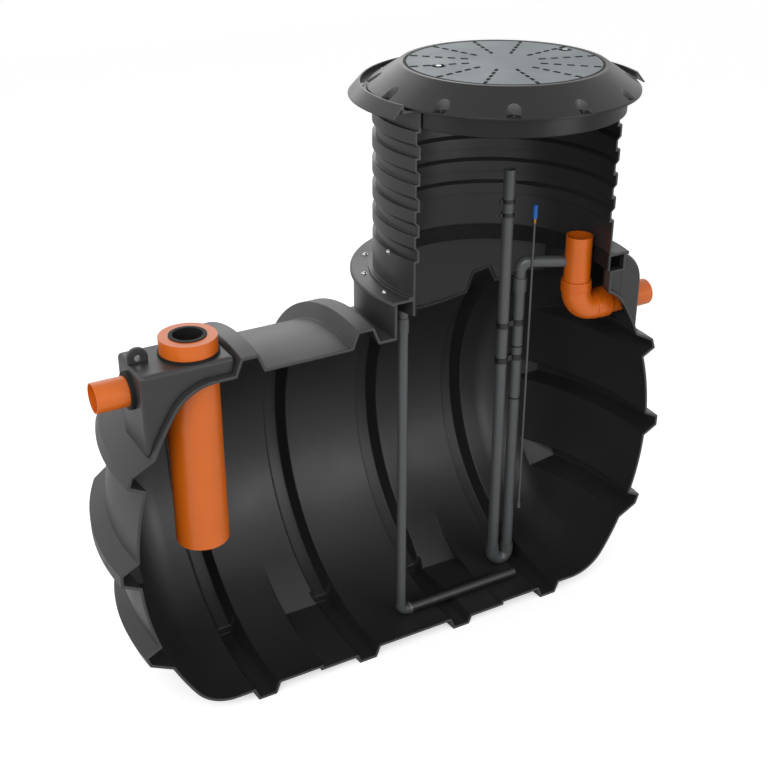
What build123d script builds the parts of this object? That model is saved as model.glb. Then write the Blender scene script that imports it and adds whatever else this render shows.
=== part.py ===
from build123d import *
import math
import os

# Cutaway packaged sewage treatment plant, in millimetres.
# X runs along the tank from inlet to outlet, Y across it, Z up.
# The origin is on the floor, under the middle of the tank axis.
# The front of the tank, neck and riser is cut away along one upright plane.

# Tank shell
WALL = 10.0
BARREL_RADIUS = 717.0
BARREL_LENGTH = 1640.0
GROUND_GAP = 34.0
CROWN_RADIUS = 1134.0
KNUCKLE_RADIUS = 200.0
CUT_OFFSET = 145.0

# Hoop ribs round the barrel
RIB_COUNT = 4
RIB_END_GAP = 130.0
RIB_HEIGHT = 60.0
RIB_CREST = 68.0
RIB_SIDE_RUN = 25.0

# Feet under the ribs and flat pads beside the middle ribs
FOOT_REACH = 310.0
PAD_LENGTH = 160.0
PAD_REACH = 255.0

# Level ribs across the domed ends
END_RIB_COUNT = 3
END_RIB_PITCH = 385.0
END_RIB_HEIGHT = 64.0
END_RIB_CREST = 48.0
END_RIB_SIDE_RUN = 34.0
END_RIB_FADE = 560.0
END_RIB_HALF_TURN = 60.0

# Neck on the tank top, measured up from the barrel
NECK_INSET = 392.0
NECK_RADIUS = 557.0
NECK_RISE = 127.0
NECK_FLANGE = 14.0
NECK_FLANGE_THICK = 14.0
NECK_FLANGE_ROUND = 6.0
NECK_SKIRT_DEPTH = 60.0
NECK_SKIRT_WALL = 8.0
NICHE_INSET = 84.0
NICHE_DROP = 83.0

# Ribbed riser shaft
RISER_RADIUS = 482.0
RISER_WALL = 8.0
RING_COUNT = 5
RING_PITCH = 96.0
RING_HEIGHT = 46.0
RING_DEPTH = 14.0
PLAIN_BAND = 145.0
TOP_BAND = 76.0
RISER_FOOT_LIP = 18.0
RISER_LENGTHS = ("riser_rings_low", "riser_rings_middle", "riser_rings_high")

# Collar round the riser top, with a raised crest and a falling skirt
COLLAR_GAP = 22.0
COLLAR_CREST = 22.0
COLLAR_LAND = 6.0
COLLAR_RUN = 40.0
COLLAR_DROP = 45.0
COLLAR_WALL = 7.0
COLLAR_FLANGE = 8.0

# Lid frame and lid plate
LID_RADIUS = 361.0
LID_THICK = 10.0
LID_GAP = 7.0
FRAME_HEIGHT = 88.0
FRAME_WALL = 8.0
FRAME_OVERHANG = 21.0
FRAME_TOP_LAND = 14.0
FRAME_LEDGE = 22.0
SPIGOT_GAP = 4.0
SPIGOT_DEPTH = 70.0
POCKET_COUNT = 12
POCKET_RADIUS = 25.0
POCKET_INSET = 32.0
POCKET_WALL = 6.0
WELL_RADIUS = 27.0
WELL_DEPTH = 6.0
FASTENER_RADIUS = 11.0
FASTENER_RISE = 2.0
FASTENER_OFFSETS = ((-248.0, 52.0), (313.0, 50.0))

# Inlet box, pipe and dip pipe
BOX_REACH = 263.0
INLET_BOX_LENGTH = 349.0
BOX_ROOM = 10.0
BOX_RISE = 47.5
BOX_ROUND = 16.0
INLET_PIPE_DROP = 95.5
INLET_STUB = 134.0
PIPE_OD = 110.0
PIPE_WALL = 4.0
PIPE_GRIP = 1.0
GRIP_MARGIN = 2.0
DIP_INSET = 223.0
DIP_OD = 200.0
DIP_WALL = 5.0
DIP_LENGTH = 770.0
CAP_STEP = 4.5
CAP_HEIGHT = 64.0
CAP_BORE = 128.0
CAP_SEAL_BORE = 108.0
CAP_LIP = 4.0
BASE_SEAL_STEP = 10.0
BASE_SEAL_HEIGHT = 8.0
SEAL_FLANGE = 14.0
SEAL_WALL = 6.0
SEAL_REACH = 16.0

# Outlet box and outlet pipework
OUTLET_BOX_DROP = 13.0
OUTLET_BOX_REACH = 262.0
OUTLET_BOX_ROUND = 150.0
OUTLET_PIPE_DROP = 150.0
OUTLET_STUB = 130.0
STAND_INSET = 244.0
STAND_HEIGHT = 322.0
SOCKET_STEP = 7.0
LOW_SOCKET_LENGTH = 45.0
SIDE_SOCKET_LENGTH = 70.0
BEND_RADIUS = 85.0
BEAD_COUNT = 3
BEAD_PITCH = 13.0
BEAD_WIDTH = 5.0
BEAD_RISE = 2.0

# Air line and diffuser on the tank floor
AIR_OD = 40.0
AIR_WALL = 3.0
AIR_STAND_OFF = 64.0
AIR_RISE = 205.0
COUPLING_WALL = 3.0
COUPLING_LENGTH = 60.0
COUPLING_DROP = 170.0
CLIP_RISE = 55.0
CLIP_WIDTH = 24.0
CLIP_BAND = 3.0
ELBOW_RADIUS = 32.0
DIFFUSER_OD = 50.0
DIFFUSER_LENGTH = 540.0
DIFFUSER_RING = 14.0
RING_PROUD = 2.0

# Airlift pump pipes
LIFT_OD = 48.0
LIFT_WALL = 3.5
LIFT_Y = 110.0
SUCTION_OFFSET = 128.0
SUCTION_RISE = 335.0
LIFT_SPACING = 77.0
RETURN_DROP = 67.0
FITTING_WALL = 5.0
LIFT_BEND = 34.0
FITTING_RISE = 36.0
LIFT_COUPLING_DROP = 195.0
BRACKET_DROPS = (505.0, 345.0)
BRACKET_THICK = 16.0
PIPE_CLIP_RISES = (142.0, 198.0)
PIPE_CLIP_EAR = 16.0
PIPE_CLIP_HEIGHT = 15.0

# Thin air hose beside the lift pipe
HOSE_OD = 9.0
HOSE_SIDE = 42.0
HOSE_TOP_RISE = 129.0
HOSE_LOW_RISE = 316.0
HANDLE_OD = 20.0
HANDLE_LENGTH = 56.0

# Lifting eyes
EYE_WIDTH = 74.0
EYE_THICK = 14.0
EYE_HEIGHT = 58.0
EYE_HOLE = 24.0
INLET_EYE_INSET = 35.0

SEAT = 0.3

# Worked-out places
AXIS_HEIGHT = BARREL_RADIUS + GROUND_GAP
HALF_BARREL = BARREL_LENGTH / 2
RIB_PITCH = (BARREL_LENGTH - 2 * RIB_END_GAP) / (RIB_COUNT - 1)
RIB_ROOT = RIB_CREST + 2 * RIB_SIDE_RUN
RIB_XS = [(i - (RIB_COUNT - 1) / 2) * RIB_PITCH for i in range(RIB_COUNT)]
CROWN_CENTRE = HALF_BARREL - math.sqrt(
    (CROWN_RADIUS - KNUCKLE_RADIUS) ** 2 - (BARREL_RADIUS - KNUCKLE_RADIUS) ** 2
)
INNER_BARREL = BARREL_RADIUS - WALL
FLOOR_Z = AXIS_HEIGHT - INNER_BARREL
BARREL_TOP = AXIS_HEIGHT + BARREL_RADIUS
NECK_X = HALF_BARREL - NECK_INSET
NECK_TOP = BARREL_TOP + NECK_RISE
RISER_TOP = NECK_TOP + PLAIN_BAND + RING_COUNT * RING_PITCH + TOP_BAND
RISER_VALLEY = RISER_RADIUS - RING_DEPTH
FRAME_TOP = RISER_TOP + FRAME_HEIGHT
FRAME_RIM_RADIUS = RISER_RADIUS + FRAME_OVERHANG
BOX_HALF = DIP_OD / 2 + BOX_ROOM + WALL
BOX_TOP = BARREL_TOP + BOX_RISE
INLET_BOX_END = -HALF_BARREL - BOX_REACH
INLET_PIPE_Z = BOX_TOP - INLET_PIPE_DROP
INLET_PIPE_END = INLET_BOX_END - INLET_STUB
DIP_X = INLET_BOX_END + DIP_INSET
DIP_BOTTOM = BOX_TOP - DIP_LENGTH
OUTLET_BOX_TOP = NECK_TOP - OUTLET_BOX_DROP
OUTLET_BOX_END = HALF_BARREL + OUTLET_BOX_REACH
OUTLET_PIPE_Z = BARREL_TOP - OUTLET_PIPE_DROP
OUTLET_PIPE_END = OUTLET_BOX_END + OUTLET_STUB
STAND_X = OUTLET_BOX_END - STAND_INSET
SEAL_RADIUS = PIPE_OD / 2 + SEAL_WALL
GRIPPED_RADIUS = PIPE_OD / 2 - PIPE_GRIP
DOME_AT_OUTLET = CROWN_CENTRE + math.sqrt(CROWN_RADIUS ** 2 - (OUTLET_PIPE_Z - AXIS_HEIGHT) ** 2)
AIR_X = NECK_X - RISER_RADIUS + AIR_STAND_OFF
SUCTION_X = NECK_X + SUCTION_OFFSET
RETURN_X = SUCTION_X + LIFT_SPACING
RETURN_TOP = NECK_TOP - RETURN_DROP
FITTING_OD = LIFT_OD + 2 * FITTING_WALL
BIG = 4000.0


def tank_plane():
    """Profile plane whose X is the tank axis and whose Y is the radius."""
    return Plane(origin=(0, 0, AXIS_HEIGHT), x_dir=(1, 0, 0), z_dir=(0, -1, 0))


def about_axis(face):
    """Revolve a profile drawn in the tank plane about the tank axis."""
    axis = Axis((0, 0, AXIS_HEIGHT), (1, 0, 0))
    return revolve(tank_plane() * face, axis, 360)


def upright(radius, low, high, x=0.0, y=0.0):
    """Solid upright cylinder between two heights."""
    body = Cylinder(radius, high - low, align=(Align.CENTER, Align.CENTER, Align.MIN))
    return Pos(x, y, low) * body


def upright_tube(outer, wall, low, high, x=0.0, y=0.0):
    """Upright pipe between two heights."""
    return upright(outer, low, high, x, y) - upright(outer - wall, low - 1, high + 1, x, y)


def level(radius, start, end, z, y=0.0):
    """Solid cylinder along X between two places."""
    body = Cylinder(radius, end - start, align=(Align.CENTER, Align.CENTER, Align.MIN))
    return Pos(start, y, z) * Rot(0, 90, 0) * body


def level_tube(outer, wall, start, end, z, y=0.0):
    """Pipe along X between two places."""
    return level(outer, start, end, z, y) - level(outer - wall, start - 1, end + 1, z, y)


def block(x0, x1, y0, y1, z0, z1):
    """Box between two corners."""
    body = Box(x1 - x0, y1 - y0, z1 - z0, align=(Align.MIN, Align.MIN, Align.MIN))
    return Pos(x0, y0, z0) * body


def kept_side():
    """Everything behind the cutting plane."""
    return block(-BIG, BIG, -CUT_OFFSET, BIG, -BIG, BIG)


def wall_shift(inset, height, run):
    """How far a sloped rib side moves in for a wall thickness."""
    lean = math.atan2(run, height)
    return inset * (1 - math.sin(lean)) / math.cos(lean)


def barrel_body(inset):
    """Barrel with its hoop ribs, as a solid, inset by a wall."""
    radius = BARREL_RADIUS - inset
    crest_radius = radius + RIB_HEIGHT
    shift = wall_shift(inset, RIB_HEIGHT, RIB_SIDE_RUN)
    points = [(-HALF_BARREL, 0), (-HALF_BARREL, radius)]
    for x in RIB_XS:
        points.append((x - RIB_ROOT / 2 + shift, radius))
        points.append((x - RIB_CREST / 2 + shift, crest_radius))
        points.append((x + RIB_CREST / 2 - shift, crest_radius))
        points.append((x + RIB_ROOT / 2 - shift, radius))
    points += [(HALF_BARREL, radius), (HALF_BARREL, 0)]
    return about_axis(make_face(Polyline(*points, close=True)))


def dome_profile(inset):
    """Dished end profile for the outlet side: crown arc and knuckle arc."""
    crown = CROWN_RADIUS - inset
    knuckle = KNUCKLE_RADIUS - inset
    radius = BARREL_RADIUS - inset
    lean = math.atan2(BARREL_RADIUS - KNUCKLE_RADIUS, HALF_BARREL - CROWN_CENTRE)
    join = (CROWN_CENTRE + crown * math.cos(lean), crown * math.sin(lean))
    half = lean / 2
    crown_mid = (CROWN_CENTRE + crown * math.cos(half), crown * math.sin(half))
    turn = (lean + math.pi / 2) / 2
    centre_r = BARREL_RADIUS - KNUCKLE_RADIUS
    knuckle_mid = (HALF_BARREL + knuckle * math.cos(turn), centre_r + knuckle * math.sin(turn))
    edge = (HALF_BARREL, radius)
    outline = [
        Line((HALF_BARREL, 0), (CROWN_CENTRE + crown, 0)),
        ThreePointArc((CROWN_CENTRE + crown, 0), crown_mid, join),
        ThreePointArc(join, knuckle_mid, edge),
        Line(edge, (HALF_BARREL, 0)),
    ]
    return make_face(outline)


def end_rib_limit(inset):
    """Outer limit of the end ribs, fading into the knuckle."""
    crown = CROWN_RADIUS + END_RIB_HEIGHT - inset
    fade_x = CROWN_CENTRE + math.sqrt(crown ** 2 - END_RIB_FADE ** 2)
    edge_r = BARREL_RADIUS - inset
    mid_r = END_RIB_FADE / 2
    mid_x = CROWN_CENTRE + math.sqrt(crown ** 2 - mid_r ** 2)
    outline = [
        Line((HALF_BARREL, 0), (CROWN_CENTRE + crown, 0)),
        ThreePointArc((CROWN_CENTRE + crown, 0), (mid_x, mid_r), (fade_x, END_RIB_FADE)),
        Line((fade_x, END_RIB_FADE), (HALF_BARREL, edge_r)),
        Line((HALF_BARREL, edge_r), (HALF_BARREL, 0)),
    ]
    return about_axis(make_face(outline))


def end_rib(height, inset):
    """One level rib, following the crown as a ring about an upright axis."""
    shift = wall_shift(inset, END_RIB_HEIGHT, END_RIB_SIDE_RUN)
    crest = END_RIB_CREST / 2 - shift
    root = END_RIB_CREST / 2 + END_RIB_SIDE_RUN - shift
    near = math.sqrt(CROWN_RADIUS ** 2 - height ** 2) - inset
    slope = END_RIB_SIDE_RUN / END_RIB_HEIGHT
    deep = END_RIB_HEIGHT
    past = WALL
    points = [
        (near - deep, height - root - deep * slope),
        (near + END_RIB_HEIGHT + past, height - crest + past * slope),
        (near + END_RIB_HEIGHT + past, height + crest - past * slope),
        (near - deep, height + root + deep * slope),
    ]
    plane = Plane(origin=(CROWN_CENTRE, 0, AXIS_HEIGHT), x_dir=(1, 0, 0), z_dir=(0, -1, 0))
    face = plane * make_face(Polyline(*points, close=True))
    upright_axis = Axis((CROWN_CENTRE, 0, 0), (0, 0, 1))
    aside = face.rotate(upright_axis, -END_RIB_HALF_TURN)
    return revolve(aside, upright_axis, 2 * END_RIB_HALF_TURN)


def dome_body(inset):
    """Outlet dome with its level ribs, as a solid."""
    body = about_axis(dome_profile(inset))
    limit = end_rib_limit(inset)
    for i in range(END_RIB_COUNT):
        height = (i - (END_RIB_COUNT - 1) / 2) * END_RIB_PITCH
        body = body + (end_rib(height, inset) & limit)
    return body


def foot_body(x, inset):
    """Flat-bottomed foot under one hoop rib."""
    shift = wall_shift(inset, RIB_HEIGHT, RIB_SIDE_RUN)
    crest = RIB_CREST / 2 - shift
    root = RIB_ROOT / 2 - shift
    top = AXIS_HEIGHT / 3
    points = [
        (x - crest, inset),
        (x + crest, inset),
        (x + root, inset + RIB_HEIGHT),
        (x + root, top),
        (x - root, top),
        (x - root, inset + RIB_HEIGHT),
    ]
    face = Plane.XZ * make_face(Polyline(*points, close=True))
    reach = FOOT_REACH - inset
    return extrude(Pos(0, reach, 0) * face, amount=2 * reach, dir=(0, -1, 0))


def pad_body(side, inset):
    """Flat pad beside a middle rib, running up tangent to the barrel."""
    radius = BARREL_RADIUS - inset
    half_turn = math.atan2(PAD_REACH, BARREL_RADIUS)
    corner = radius * math.tan(half_turn)
    tip_y = radius * math.sin(2 * half_turn)
    tip_z = AXIS_HEIGHT - radius * math.cos(2 * half_turn)
    low = AXIS_HEIGHT - radius
    points = [(-corner, low), (corner, low), (tip_y, tip_z), (0, AXIS_HEIGHT), (-tip_y, tip_z)]
    near = RIB_PITCH / 2
    far = near + RIB_ROOT / 2 + PAD_LENGTH - inset
    face = Plane.YZ * make_face(Polyline(*points, close=True))
    start = near if side > 0 else -far
    return extrude(Pos(start, 0, 0) * face, amount=far - near, dir=(1, 0, 0))


def niche(inset):
    """Flat-sided niches in the neck, on both sides of the outlet box."""
    start = NECK_X + NECK_RADIUS - NICHE_INSET - inset
    top = NECK_TOP - NICHE_DROP + inset
    near = BOX_HALF - inset
    left = block(start, BIG, near, BIG, AXIS_HEIGHT, top)
    right = block(start, BIG, -BIG, -near, AXIS_HEIGHT, top)
    return left + right


def neck_body(inset):
    """Round neck on the tank top, without its flange."""
    body = upright(NECK_RADIUS - inset, AXIS_HEIGHT, NECK_TOP - inset, NECK_X)
    return body - niche(inset)


def neck_flange():
    """Flange round the neck top with a rounded edge."""
    low = NECK_TOP - NECK_FLANGE_THICK
    body = upright(NECK_RADIUS + NECK_FLANGE, low, NECK_TOP, NECK_X)
    return fillet(body.edges().group_by(Axis.Z)[-1], NECK_FLANGE_ROUND)


def neck_skirt():
    """Short skirt that hangs from the neck's mouth."""
    bore = RISER_RADIUS - RISER_WALL
    top = NECK_TOP - WALL
    return upright_tube(bore + NECK_SKIRT_WALL, NECK_SKIRT_WALL, top - NECK_SKIRT_DEPTH, top, NECK_X)


def inlet_box_body(inset):
    """Flat-topped box with soft edges over the inlet pipe."""
    half = BOX_HALF - inset
    start = INLET_BOX_END + inset
    end = INLET_BOX_END + INLET_BOX_LENGTH - inset
    low = AXIS_HEIGHT + END_RIB_PITCH
    body = block(start, end, -half, half, low, BOX_TOP - inset)
    edges = body.edges().filter_by(Axis.Z) + body.edges().group_by(Axis.Z)[-1]
    return fillet(edges, BOX_ROUND - inset)


def outlet_box_body(inset):
    """Round-shouldered box over the outlet pipe."""
    half = BOX_HALF - inset
    end = OUTLET_BOX_END - inset
    top = OUTLET_BOX_TOP - inset
    low = AXIS_HEIGHT + END_RIB_PITCH
    bend = OUTLET_BOX_ROUND - inset
    mid = bend * (1 - math.cos(math.pi / 4))
    outline = [
        Line((NECK_X, low), (NECK_X, top)),
        Line((NECK_X, top), (end - bend, top)),
        ThreePointArc((end - bend, top), (end - mid, top - mid), (end, top - bend)),
        Line((end, top - bend), (end, low)),
        Line((end, low), (NECK_X, low)),
    ]
    face = Plane.XZ * make_face(outline)
    body = extrude(Pos(0, half, 0) * face, amount=2 * half, dir=(0, -1, 0))
    inside = body.edges().group_by(Axis.X)[0] + body.edges().group_by(Axis.Z)[0]
    rim = body.edges().filter_by(Axis.Y, reverse=True) - inside
    return fillet(rim, BOX_ROUND - inset)


def tank_bodies(inset):
    """The tank's named volumes, as solids inset by a wall."""
    floor = block(-BIG, BIG, -BIG, BIG, inset, BIG)
    barrel = barrel_body(inset)
    for x in RIB_XS:
        barrel = barrel + foot_body(x, inset)
    for side in (-1, 1):
        barrel = barrel + pad_body(side, inset)
    barrel = barrel & floor
    outlet = dome_body(inset)
    inlet = mirror(outlet, Plane.YZ)
    return barrel, inlet, outlet


def barrel_rings(wall):
    """Barrel wall split into one ring for each hoop rib."""
    nodes = {}
    stops = [-HALF_BARREL]
    for i in range(RIB_COUNT - 1):
        stops.append((RIB_XS[i] + RIB_XS[i + 1]) / 2)
    stops.append(HALF_BARREL)
    for i in range(RIB_COUNT):
        piece = block(stops[i], stops[i + 1], -BIG, BIG, -BIG, BIG)
        nodes[f"barrel_ring_{i + 1}"] = wall & piece
    return nodes


def tank_shell():
    """Hollow tank pieces, cut open: barrel rings, domes, neck and boxes."""
    barrel, inlet, outlet = tank_bodies(0)
    inner_barrel, inner_inlet, inner_outlet = tank_bodies(WALL)
    hollow = inner_barrel + inner_inlet + inner_outlet
    hollow = hollow + neck_body(WALL) + inlet_box_body(WALL) + outlet_box_body(WALL)
    kept = kept_side()
    mouth = upright(RISER_RADIUS - RISER_WALL, AXIS_HEIGHT, NECK_TOP + WALL, NECK_X)

    nodes = barrel_rings((barrel - hollow) & kept)
    nodes["inlet_dome"] = (inlet - hollow) & kept
    dome_out = (outlet - hollow) & kept
    neck = neck_body(0) + neck_flange()
    shell = (neck - barrel - outlet - hollow) + neck_skirt()
    nodes["access_neck"] = (shell - mouth) & kept
    seal_in = level(SEAL_RADIUS, -BIG, INLET_BOX_END + 3 * WALL, INLET_PIPE_Z)
    cap_way = upright(DIP_OD / 2 + SEAT, BOX_TOP - 3 * WALL, BOX_TOP + WALL, DIP_X)
    box_in = inlet_box_body(0) - barrel - inlet - hollow
    nodes["inlet_box"] = (box_in - seal_in - cap_way) & kept
    seal_out = level(SEAL_RADIUS, DOME_AT_OUTLET - 3 * WALL, BIG, OUTLET_PIPE_Z)
    box_out = outlet_box_body(0) - barrel - outlet - neck - hollow
    nodes["outlet_box"] = (box_out - seal_out) & kept
    nodes["outlet_dome"] = dome_out - seal_out
    return nodes


def ring_profile(first, last, wall):
    """One side of some riser rings, from their valley up, inset by a wall."""
    valley = RISER_VALLEY - wall
    crest = RISER_RADIUS - wall
    rings_low = NECK_TOP + PLAIN_BAND
    points = [(valley, rings_low + first * RING_PITCH)]
    for i in range(first, last):
        ring_top = rings_low + (i + 1) * RING_PITCH
        ring_low = ring_top - RING_HEIGHT
        points += [(valley, ring_low - RING_DEPTH), (crest, ring_low)]
        points += [(crest, ring_top - wall), (valley, ring_top - wall)]
    end = RISER_TOP if last == RING_COUNT else ring_top
    if end > ring_top - wall:
        points.append((valley, end))
    return points


def riser_pieces():
    """Ribbed shaft standing on the neck, cut open: its foot and its rings."""
    band_top = NECK_TOP + PLAIN_BAND
    foot_top = NECK_TOP + RISER_WALL
    lip = RISER_RADIUS + RISER_FOOT_LIP
    bore = RISER_RADIUS - RISER_WALL
    shelf = RISER_VALLEY - RISER_WALL
    foot = [(bore, NECK_TOP), (lip, NECK_TOP), (lip, foot_top), (RISER_RADIUS, foot_top)]
    foot += [(RISER_RADIUS, band_top), (shelf, band_top)]
    foot += [(shelf, band_top - RISER_WALL), (bore, band_top - RISER_WALL)]
    nodes = {"riser_shaft": turned(foot) & kept_side()}
    share = math.ceil(RING_COUNT / len(RISER_LENGTHS))
    for k, name in enumerate(RISER_LENGTHS):
        first = k * share
        last = min(first + share, RING_COUNT)
        if first < last:
            outline = ring_profile(first, last, 0) + ring_profile(first, last, RISER_WALL)[::-1]
            nodes[name] = turned(outline) & kept_side()
    return nodes


def turned(points, x=NECK_X):
    """Revolve a list of radius and height points about an upright axis."""
    plane = Plane(origin=(x, 0, 0), x_dir=(1, 0, 0), z_dir=(0, -1, 0))
    face = plane * make_face(Polyline(*points, close=True))
    return revolve(face, Axis((x, 0, 0), (0, 0, 1)), 360)


def riser_collar():
    """Flange round the riser top, with a raised crest and a falling skirt, cut open."""
    bore = RISER_VALLEY + SEAT
    crest_in = FRAME_RIM_RADIUS + COLLAR_GAP
    crest_out = crest_in + COLLAR_LAND
    skirt_out = crest_out + COLLAR_RUN
    crest_z = RISER_TOP + COLLAR_CREST
    skirt_low = crest_z - COLLAR_DROP
    wall = COLLAR_WALL
    points = [
        (bore, RISER_TOP - COLLAR_FLANGE),
        (crest_in + wall, RISER_TOP - COLLAR_FLANGE),
        (crest_in + wall, crest_z - 2 * wall),
        (skirt_out - wall, skirt_low),
        (skirt_out, skirt_low),
        (crest_out, crest_z),
        (crest_in, crest_z),
        (crest_in, RISER_TOP),
        (bore, RISER_TOP),
    ]
    return turned(points) & kept_side()


def pocket(inset, low):
    """U-shaped upright prism that opens through the lid frame's rim."""
    radius = POCKET_RADIUS + inset
    centre = FRAME_RIM_RADIUS - POCKET_INSET
    far = FRAME_RIM_RADIUS + FRAME_WALL
    body = upright(radius, low, FRAME_TOP, centre)
    return body + block(centre, far, -radius, radius, low, FRAME_TOP)


def round_the_lid(piece):
    """Copies of a piece drawn beside the lid centre, one at each pocket."""
    turn = 360 / POCKET_COUNT
    return [Pos(NECK_X, 0, 0) * Rot(0, 0, i * turn) * piece for i in range(POCKET_COUNT)]


def lid_frame():
    """Conical frame that carries the lid, with upright pockets round its rim."""
    recess = LID_RADIUS + LID_GAP
    top_r = recess + FRAME_TOP_LAND
    ledge_z = FRAME_TOP - LID_THICK
    rim = FRAME_RIM_RADIUS
    wall = FRAME_WALL
    seat_z = RISER_TOP
    floor_z = seat_z + wall
    bore = RISER_VALLEY - RISER_WALL - SPIGOT_GAP - wall
    outer = [(0, floor_z), (rim, floor_z), (top_r, FRAME_TOP), (0, FRAME_TOP)]
    cone = turned(outer)
    points = [
        (recess, FRAME_TOP),
        (top_r, FRAME_TOP),
        (rim, floor_z),
        (rim, seat_z),
        (bore, seat_z),
        (bore, floor_z),
        (rim - 2 * wall, floor_z),
        (recess, ledge_z - wall),
        (recess - FRAME_LEDGE, ledge_z - wall),
        (recess - FRAME_LEDGE, ledge_z),
        (recess, ledge_z),
    ]
    frame = turned(points)
    walls = [solid & cone for solid in round_the_lid(pocket(POCKET_WALL, floor_z - 1))]
    frame = frame + walls
    return frame - round_the_lid(pocket(0, floor_z))


def lid_spigot():
    """Skirt under the lid frame that reaches down into the riser."""
    outer = RISER_VALLEY - RISER_WALL - SPIGOT_GAP
    return upright_tube(outer, FRAME_WALL, RISER_TOP - SPIGOT_DEPTH, RISER_TOP, NECK_X)


def fastener_places():
    """Centres of the two lid fasteners."""
    return [(NECK_X + x, y) for x, y in FASTENER_OFFSETS]


def lid_plate():
    """Round lid plate with a round well at each fastener."""
    plate = upright(LID_RADIUS, FRAME_TOP - LID_THICK, FRAME_TOP, NECK_X)
    for x, y in fastener_places():
        plate = plate - upright(WELL_RADIUS, FRAME_TOP - WELL_DEPTH, FRAME_TOP + WALL, x, y)
    return plate


def lid_fasteners():
    """Capped fasteners that stand in the lid's wells."""
    low = FRAME_TOP - WELL_DEPTH
    high = FRAME_TOP + FASTENER_RISE
    return Compound(children=[upright(FASTENER_RADIUS, low, high, x, y) for x, y in fastener_places()])


def stub_pipe(inner_end, free_end, seal_end, z):
    """Level drain pipe, slimmer from the seal inwards, where the rubber grips it."""
    pipe_r = PIPE_OD / 2
    out = 1 if free_end > inner_end else -1
    change = seal_end + out * GRIP_MARGIN
    free = level(pipe_r, min(change, free_end), max(change, free_end), z)
    held = level(GRIPPED_RADIUS, min(inner_end, change), max(inner_end, change), z)
    way = level(pipe_r - PIPE_WALL, min(inner_end, free_end) - 1, max(inner_end, free_end) + 1, z)
    return free + held - way


def pipe_seal(face, out, z):
    """Rubber seal in a box wall, with a flange outside it. Out is 1 towards +X, else -1."""
    end = face + out * SEAL_REACH
    inside = face - out * 2 * WALL
    body = level(PIPE_OD / 2 + SEAL_FLANGE, min(face, end), max(face, end), z)
    body = body + level(SEAL_RADIUS, min(inside, end), max(inside, end), z)
    return body - level(GRIPPED_RADIUS, face - BIG, face + BIG, z)


def dip_pieces():
    """Dip pipe through the inlet box, with its base seal, cap ring and inner seal."""
    nodes = {}
    dip_r = DIP_OD / 2
    cap_r = dip_r + CAP_STEP
    cap_low = BOX_TOP + BASE_SEAL_HEIGHT
    cap_top = BOX_TOP + CAP_HEIGHT
    lip_top = cap_top + CAP_LIP
    bore_r = CAP_BORE / 2
    way = level(PIPE_OD / 2 - PIPE_WALL, INLET_PIPE_END, DIP_X, INLET_PIPE_Z)
    nodes["dip_pipe"] = upright_tube(dip_r, DIP_WALL, DIP_BOTTOM, BOX_TOP, DIP_X) - way
    seal_wall = BASE_SEAL_STEP - SEAT
    nodes["cap_base_seal"] = upright_tube(dip_r + BASE_SEAL_STEP, seal_wall, BOX_TOP, cap_low, DIP_X)
    nodes["cap_ring"] = upright_tube(cap_r, cap_r - bore_r, cap_low, cap_top, DIP_X)
    seal = upright(bore_r, cap_low, cap_top, DIP_X)
    seal = seal + upright(bore_r + CAP_LIP, cap_top, lip_top, DIP_X)
    nodes["cap_inner_seal"] = seal - upright(CAP_SEAL_BORE / 2, cap_low - 1, lip_top + 1, DIP_X)
    return nodes


def inlet_pieces():
    """Inlet pipe, its seal, the dip pipe and the cap on the box."""
    nodes = dip_pieces()
    dip_side = DIP_X - math.sqrt((DIP_OD / 2) ** 2 - GRIPPED_RADIUS ** 2)
    seal_end = INLET_BOX_END - SEAL_REACH
    pipe = stub_pipe(dip_side + DIP_WALL, INLET_PIPE_END, seal_end, INLET_PIPE_Z)
    keep_out = upright(DIP_OD / 2 + SEAT, DIP_BOTTOM, BOX_TOP, DIP_X)
    nodes["inlet_pipe"] = pipe - keep_out
    nodes["inlet_seal"] = pipe_seal(INLET_BOX_END, -1, INLET_PIPE_Z)
    return nodes


def quarter_bend(radius, bend, wall, start, first, second):
    """Bent pipe: a quarter turn from one direction into another."""
    first = Vector(*first)
    second = Vector(*second)
    start = Vector(*start)
    end = start + first * bend + second * bend
    half = math.sin(math.pi / 4)
    middle = start + first * (bend * half) + second * (bend * (1 - half))
    path = ThreePointArc(start, middle, end)
    plane = Plane(origin=start, z_dir=first)
    return sweep(plane * Circle(radius), path=path) - sweep(plane * Circle(radius - wall), path=path)


def outlet_bend_pieces():
    """Bend at the foot of the standpipe, with an upright and a level beaded socket."""
    nodes = {}
    pipe_r = PIPE_OD / 2
    socket_r = pipe_r + SOCKET_STEP
    bead_r = socket_r + BEAD_RISE
    z = OUTLET_PIPE_Z
    low = z + BEND_RADIUS
    near = STAND_X + BEND_RADIUS
    far = near + SIDE_SOCKET_LENGTH
    start = (STAND_X, 0, low)
    bend = quarter_bend(pipe_r + PIPE_WALL, BEND_RADIUS, 2 * PIPE_WALL, start, (0, 0, -1), (1, 0, 0))
    nodes["outlet_bend"] = bend
    socket = upright_tube(socket_r, socket_r - pipe_r - SEAT, low, low + LOW_SOCKET_LENGTH, STAND_X)
    side = level_tube(socket_r, socket_r - GRIPPED_RADIUS - SEAT, near, far, z)
    for i in range(BEAD_COUNT):
        step = i * BEAD_PITCH
        foot = low + step
        socket = socket + upright_tube(bead_r, 2 * BEAD_RISE, foot, foot + BEAD_WIDTH, STAND_X)
        side = side + level_tube(bead_r, 2 * BEAD_RISE, far - step - BEAD_WIDTH, far - step, z)
    nodes["outlet_low_socket"] = socket
    nodes["outlet_side_socket"] = side
    return nodes


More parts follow.
